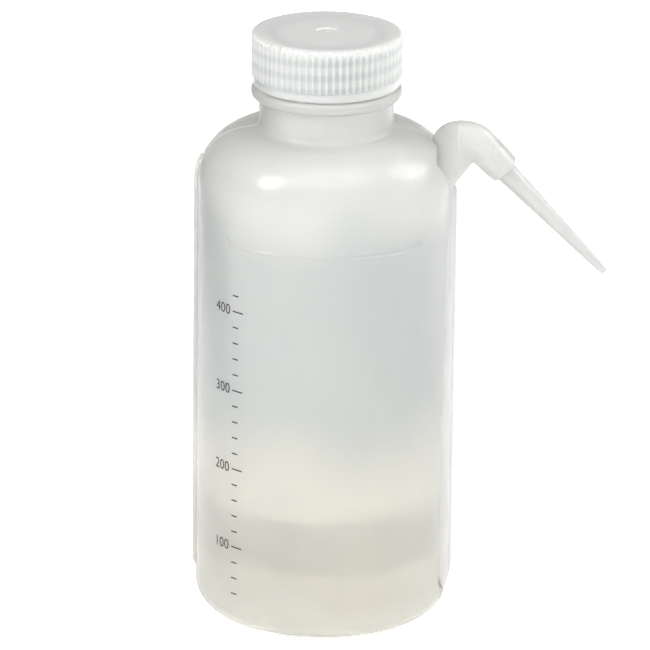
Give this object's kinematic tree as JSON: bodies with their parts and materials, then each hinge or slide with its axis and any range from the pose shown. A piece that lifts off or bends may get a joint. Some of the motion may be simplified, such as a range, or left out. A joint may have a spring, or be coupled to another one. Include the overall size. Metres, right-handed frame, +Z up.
{
  "type": "laboratory wash bottle",
  "caption": "Translucent squeeze bottle with a side delivery tube moulded into its wall, a ribbed screw cap and a tapered dispensing nozzle that points down from an elbow.",
  "frame": {"origin": "on the bottle's axis, in the plane that its base stands on", "axes": "+Z up along the bottle's axis, +X towards the side delivery tube and the nozzle, -Y towards the front with the fill line"},
  "size_m": [0.1215, 0.0753, 0.1766],
  "materials": {
    "bottle_ldpe": "translucent blow-moulded low-density polyethylene, waxy satin",
    "cap_pp": "translucent injection-moulded polypropylene, soft gloss",
    "seal_foam": "white closed-cell polyethylene foam",
    "nozzle_ldpe": "milky polyethylene, satin"
  },
  "bodies": {
    "bottle": {"bottle": "bottle_ldpe"},
    "seal": {"seal_ring": "seal_foam"},
    "cap": {"cap": "cap_pp"},
    "nozzle": {"nozzle": "nozzle_ldpe"}
  },
  "joints": [
    {"name": "cap_lift", "type": "slide", "parent": "bottle", "child": "seal", "axis": [0, 0, 1], "range_m": [0, 0.00793]},
    {"name": "cap_turn", "type": "hinge", "parent": "seal", "child": "cap", "pos_m": [0, 0, 0.1735], "axis": [0, 0, 1], "range_deg": [0, 675]},
    {"name": "nozzle_pull", "type": "slide", "parent": "bottle", "child": "nozzle", "axis": [0.6947, 0, -0.7193], "range_m": [0, 0.0075]}
  ],
  "couplings": [
    {"joint": "cap_lift", "follows": "cap_turn", "m_per_rad": 0.00067322}
  ]
}
